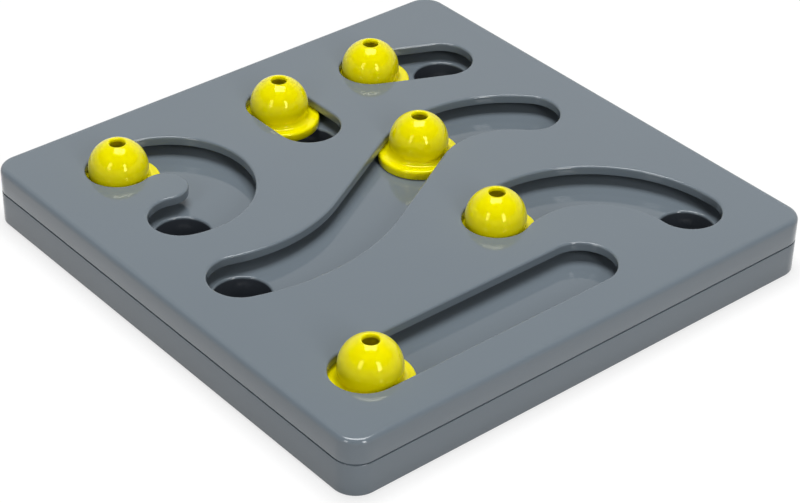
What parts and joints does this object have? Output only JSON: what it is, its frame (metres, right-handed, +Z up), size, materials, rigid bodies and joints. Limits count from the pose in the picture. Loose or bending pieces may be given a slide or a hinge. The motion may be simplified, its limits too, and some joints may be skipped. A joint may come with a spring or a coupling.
{
  "type": "dog puzzle feeder toy",
  "caption": "Square slow feeder puzzle for dogs: domed knobs slide along straight and curved slots in a flat cover to uncover round treat wells",
  "frame": {"origin": "centre of the square, on the plane that the feet stand on", "axes": "+Z is up; +Y points from the side by the straight slot's covered well to the far side; +X points to the side that the straight slot runs along. The sides of the square lie along X and Y."},
  "size_m": [0.3, 0.3, 0.0487],
  "materials": {
    "cover_plastic": "glossy blue-grey injection-moulded plastic",
    "tray_plastic": "glossy blue-grey injection-moulded plastic",
    "slider_plastic": "glossy lemon yellow injection-moulded plastic",
    "foot_rubber": "matt dark grey rubber",
    "screw_steel": "zinc-plated steel"
  },
  "bodies": {
    "shell": {"top_cover": "cover_plastic", "base_tray": "tray_plastic", "foot_front_left": "foot_rubber", "foot_front_right": "foot_rubber", "foot_back_left": "foot_rubber", "foot_back_right": "foot_rubber", "cover_screws": "screw_steel"},
    "horseshoe_slider": {"slider_horseshoe": "slider_plastic"},
    "short_slider": {"slider_short": "slider_plastic"},
    "slant_slider": {"slider_slant": "slider_plastic"},
    "wave_slider": {"slider_wave": "slider_plastic"},
    "arch_slider": {"slider_arch": "slider_plastic"},
    "straight_slider": {"slider_straight": "slider_plastic"}
  },
  "joints": [
    {"name": "horseshoe_travel", "type": "hinge", "parent": "shell", "child": "horseshoe_slider", "pos_m": [-0.0764, -0.0913, 0.024], "axis": [0, 0, 1], "range_deg": [-218.5, 2.3]},
    {"name": "short_travel", "type": "slide", "parent": "shell", "child": "short_slider", "axis": [1, 0, 0], "range_m": [-0.0024, 0.027]},
    {"name": "slant_travel", "type": "slide", "parent": "shell", "child": "slant_slider", "axis": [0.4131, 0.9107, 0], "range_m": [-0.0012, 0.0426]},
    {"name": "wave_travel", "type": "hinge", "parent": "shell", "child": "wave_slider", "pos_m": [0.0269, 0.0619, 0.024], "axis": [0, 0, 1], "range_deg": [-69.7, 18]},
    {"name": "arch_travel", "type": "hinge", "parent": "shell", "child": "arch_slider", "pos_m": [0.1068, 0.0462, 0.024], "axis": [0, 0, 1], "range_deg": [-115.1, 1.1]},
    {"name": "straight_travel", "type": "slide", "parent": "shell", "child": "straight_slider", "axis": [0, 1, 0], "range_m": [-0.0048, 0.1369]}
  ]
}
